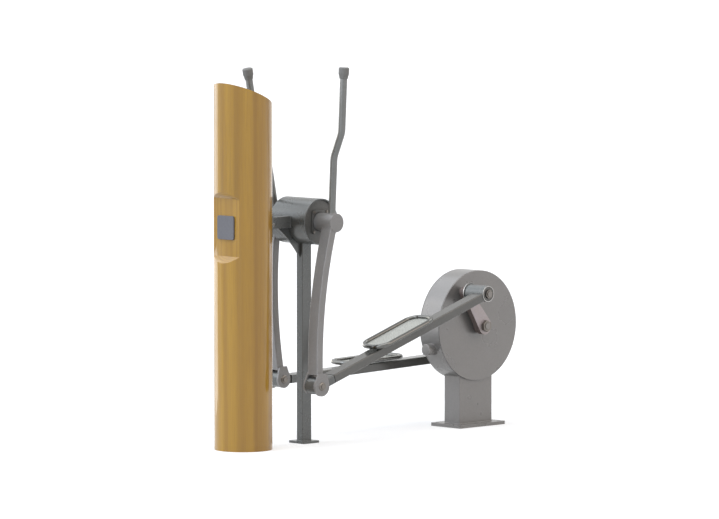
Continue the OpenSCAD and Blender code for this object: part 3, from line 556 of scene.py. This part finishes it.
SHANK_IN, SHANK_OUT, SHANK_R = 160, 260, 12
HEAD_R, HEAD_H, SOCKET_R, SOCKET_DEEP = 19, 6, 7, 3.5
OUTER_EAR_Y, INNER_EAR_Y = 250, 170
for side, sign in SIDES.items():
    x, z = LOWER_PIVOT[side]
    shank = turned([(SHANK_IN, 0), (SHANK_IN, SHANK_R), (SHANK_OUT, SHANK_R), (SHANK_OUT, 0)])
    bm = placed(shank, along_y(x, 0, z, sign))
    for y, outward in ((OUTER_EAR_Y, sign), (INNER_EAR_Y, -sign)):
        join(bm, domed_head(HEAD_R, HEAD_H, SOCKET_R, SOCKET_DEEP), along_y(x, sign * y, z, outward))
    make(side + "_pivot_bolt_plated", bm, zinc_plate, side + "_arm",
         stands_for=[side + "_pivot_bolt"])

# Pedal plates: rows of low oblong studs, cast on for grip, over a field with round corners
PEDAL_S, PEDAL_Y, PEDAL_TOP = 543, 203, 33
STUD_ROWS, STUD_COLUMNS, STUD_STEP_X, STUD_STEP_Y = 5, 11, 15, 9
STUD_L, STUD_W, STUD_H = 8.5, 4, 1.2
FIELD_X, FIELD_Y, FIELD_CORNER = 119, 14, 39
for side, sign in SIDES.items():
    node = side + "_pedal_plate"
    bm = ease(merged_copy(node), 0.8)
    low = Vector((LOWER_PIVOT[side][0], 0, LOWER_PIVOT[side][1])) * MM
    on_link = Matrix.Translation(low) @ Matrix.Rotation(math.radians(-LINK_SLOPE[side]), 4, "Y")
    for row in range(-STUD_ROWS, STUD_ROWS + 1):
        for column in range(-STUD_COLUMNS, STUD_COLUMNS + 1):
            x = column * STUD_STEP_X + (STUD_STEP_X / 2 if row % 2 else 0)
            y = row * STUD_STEP_Y
            past = Vector((max(0, abs(x) - FIELD_X), max(0, abs(y) - FIELD_Y)))
            if past.length > FIELD_CORNER:
                continue
            spot = Vector((PEDAL_S + x, sign * PEDAL_Y + y, PEDAL_TOP)) * MM
            bmesh.ops.create_cone(
                bm, cap_ends=True, segments=8, radius1=STUD_W / 2 * MM, radius2=STUD_W / 4 * MM,
                depth=2 * STUD_H * MM,
                matrix=on_link @ Matrix.Translation(spot) @ Matrix.Diagonal((STUD_L / STUD_W, 1, 1, 1)),
            )
    make(node + "_cast", bm, cast_aluminium, side + "_link", stands_for=[node])


# Weld beads, laid along the lines where a CAD node ends on its neighbour
def round_y(centre, radius):
    """Surface of a cylinder across the machine: a point's distance from it, and its outward direction."""
    def surface(co):
        out = Vector((co.x - centre[0] * MM, 0, co.z - centre[1] * MM))
        return out.length - radius * MM, out.normalized()
    return surface


def level_z(height):
    """Surface of a level plane."""
    return lambda co: (co.z - height * MM, Vector((0, 0, 1)))


def leg_lengths(line):
    """The distance from each point of a line to the next."""
    return [(b - a).length for a, b in zip(line, line[1:])]


def by_place(vert):
    """Sorts vertices by where they lie, which is the same in each run, as their order in memory isn't."""
    return [round(c / SAME_POINT) for c in vert.co]


TOUCHING, FACING = 0.05 * MM, 0.7


def contact_line(node, surface):
    """The outer edge of the face on which a CAD node touches a surface, as points in order."""
    bm = joined_copy(node)
    patch = {
        f for f in bm.faces
        if all(abs(surface(v.co)[0]) < TOUCHING for v in f.verts)
        and abs(f.normal.dot(surface(f.calc_center_median())[1])) > FACING
    }
    rim = {e for f in patch for e in f.edges if len(set(e.link_faces) & patch) == 1}
    loops = []
    while rim:
        start = at = min((v for e in rim for v in e.verts), key=by_place)
        loop = []
        while at != start or not loop:
            loop.append(at.co.copy())
            edge = min((e for e in at.link_edges if e in rim), key=lambda e: by_place(e.other_vert(at)))
            rim.remove(edge)
            at = edge.other_vert(at)
        loops.append(loop)
    bm.free()
    return max(loops, key=lambda loop: sum(leg_lengths(loop + loop[:1])))


def even_points(loop, step):
    """Points an even step apart round a loop, and an even number of them."""
    line = loop + loop[:1]
    lengths = leg_lengths(line)
    count = 2 * max(3, round(sum(lengths) / step / 2))
    even, leg, passed = [], 0, 0.0
    for k in range(count):
        want = sum(lengths) * k / count
        while leg < len(lengths) - 1 and passed + lengths[leg] < want:
            passed += lengths[leg]
            leg += 1
        even.append(line[leg].lerp(line[leg + 1], (want - passed) / lengths[leg]))
    return even


BEAD_R, BEAD_STEP, BEAD_NECK = 2.4, 3.0, 0.82


def weld(name, loops, body, finish):
    """Weld beads round loops, swollen and drawn in by turns as each drop of metal leaves it."""
    curve = bpy.data.curves.new(name, "CURVE")
    curve.dimensions = "3D"
    curve.bevel_depth = BEAD_R * MM
    curve.bevel_resolution = 2
    for loop in loops:
        points = even_points(loop, BEAD_STEP * MM)
        spline = curve.splines.new("POLY")
        spline.points.add(len(points) - 1)
        for k, (point, co) in enumerate(zip(spline.points, points)):
            point.co = (*co, 1)
            point.radius = 1.0 if k % 2 else BEAD_NECK
        spline.use_cyclic_u = True
    rope = bpy.data.objects.new(name, curve)
    scene.collection.objects.link(rope)
    mesh = bpy.data.meshes.new_from_object(rope.evaluated_get(bpy.context.evaluated_depsgraph_get()))
    bpy.data.objects.remove(rope)
    bm = bmesh.new()
    bm.from_mesh(mesh)
    bpy.data.meshes.remove(mesh)
    bmesh.ops.remove_doubles(bm, verts=bm.verts, dist=SAME_POINT)
    bmesh.ops.recalc_face_normals(bm, faces=bm.faces)
    make(name, bm, finish, body, crease=80)


housing = round_y((0, PIVOT_H), HOUSING_R)
hub = round_y((0, PIVOT_H), HUB_R)
drum = round_y(DRUM, DRUM_R)
WELDS = {
    "column_welds": ([("column", level_z(COLUMN_BASE_T)), ("column", housing)], "frame", graphite_coat),
    "beam_weld": ([("beam", housing)], "frame", graphite_coat),
    "pedestal_welds": ([("pedestal", level_z(PEDESTAL_BASE_T)), ("pedestal", drum)], "frame", silver_coat),
    "boss_weld": ([("drum_boss", drum)], "frame", silver_coat),
}
for side in SIDES:
    arm, handle, link_bar = side + "_lower_arm", side + "_handle", side + "_link_bar"
    rear_tube = round_y(CRANK_PIN[side], REAR_R)
    WELDS[side + "_hub_welds"] = ([(arm, hub), (handle, hub)], side + "_arm", arm_coat)
    WELDS[side + "_bar_weld"] = ([(link_bar, rear_tube)], side + "_link", graphite_coat)
for name, (seams, body, finish) in WELDS.items():
    weld(name, [contact_line(node, surface) for node, surface in seams], body, finish)


# Floor, light and background
def seen_white(tree, plain, white):
    """Mixes a shader for camera, glossy and transmission rays with the one that lights the object."""
    path = add(tree, "LightPath")
    seen = add(tree, "Math", {
        0: path.outputs["Is Camera Ray"], 1: path.outputs["Is Glossy Ray"],
    }, operation="MAXIMUM")
    seen = add(tree, "Math", {
        0: seen.outputs[0], 1: path.outputs["Is Transmission Ray"],
    }, operation="MAXIMUM")
    return add(tree, "MixShader", {0: seen.outputs[0], 1: plain.outputs[0], 2: white.outputs[0]})


def studio_object(name, bm, finish):
    """Turns a bmesh into an object of the studio."""
    mesh = bpy.data.meshes.new(name)
    bm.to_mesh(mesh)
    bm.free()
    mesh.materials.append(finish)
    prop = bpy.data.objects.new(name, mesh)
    scene.collection.objects.link(prop)
    return prop


WHITE = (1, 1, 1, 1)
FLOOR_R, FLOOR_GLOW = 120, 0.48
floor_paint, tree = new_material("pale_floor")
plain = add(tree, "BsdfDiffuse", {"Color": srgb("#BCBCBC")})
glow = add(tree, "Emission", {"Color": WHITE, "Strength": FLOOR_GLOW})
white = add(tree, "AddShader", {0: plain.outputs[0], 1: glow.outputs[0]})
add(tree, "OutputMaterial", {"Surface": seen_white(tree, plain, white).outputs[0]})
bm = bmesh.new()
bmesh.ops.create_circle(bm, cap_ends=True, segments=64, radius=FLOOR_R)
floor = studio_object("floor", bm, floor_paint)

# A tall white card, in metres from the post, which only reflections see: the bright line down the varnish
CARD_AZIMUTH, CARD_WAY, CARD_W, CARD_H, CARD_LIFT, CARD_GLOW = 190, 2.0, 0.9, 2.4, 0.01, 3.2
card_paper, tree = new_material("white_card")
path = add(tree, "LightPath")
clear = add(tree, "BsdfTransparent")
bright = add(tree, "Emission", {"Color": WHITE, "Strength": CARD_GLOW})
shown = add(tree, "MixShader", {0: path.outputs["Is Glossy Ray"], 1: clear.outputs[0], 2: bright.outputs[0]})
add(tree, "OutputMaterial", {"Surface": shown.outputs[0]})
bm = bmesh.new()
bmesh.ops.create_grid(bm, x_segments=1, y_segments=1, size=0.5)
card_place = (
    Matrix.Translation((POST_X * MM, 0, CARD_H / 2 + CARD_LIFT))
    @ Matrix.Rotation(math.radians(CARD_AZIMUTH), 4, "Z") @ Matrix.Translation((0, -CARD_WAY, 0))
    @ Matrix.Rotation(math.radians(90), 4, "X") @ Matrix.Diagonal((CARD_W, CARD_H, 1, 1))
)
card = studio_object("card", placed(bm, card_place), card_paper)

world = bpy.data.worlds.new("studio")
world.use_nodes = True
tree = world.node_tree
tree.nodes.clear()
ambient = add(tree, "Background", {"Color": srgb("#F4F7FA"), "Strength": 0.36})
backdrop = add(tree, "Background", {"Color": WHITE, "Strength": 1.0})
add(tree, "OutputWorld", {"Surface": seen_white(tree, ambient, backdrop).outputs[0]})
scene.world = world

# Lamps: azimuth from which the light comes (0 from -Y, -90 from -X) and height in degrees, strength,
# colour, and how wide the light spreads in degrees
LAMPS = {
    "sky_lamp": (-50, 72, 1.5, "#FFFFFF", 60),
    "left_lamp": (-106, 29, 2.4, "#EAF2FF", 60),
    "front_lamp": (22, 28, 0.85, "#FFECE0", 50),
    "behind_lamp": (-165, 48, 0.92, "#EEF5FF", 60),
    "edge_lamp": (172, 3, 1.1, "#FFFBF2", 34),
    "right_lamp": (88, 45, 0.5, "#FFFFFF", 30),
}
for name, (azimuth, height, strength, colour, spread) in LAMPS.items():
    lamp = bpy.data.objects.new(name, bpy.data.lights.new(name, "SUN"))
    lamp.data.energy = strength
    lamp.data.color = srgb(colour)[:3]
    lamp.data.angle = math.radians(spread)
    lamp.rotation_euler = (math.radians(90 - height), 0, math.radians(azimuth))
    scene.collection.objects.link(lamp)

scene.view_settings.view_transform = "Standard"
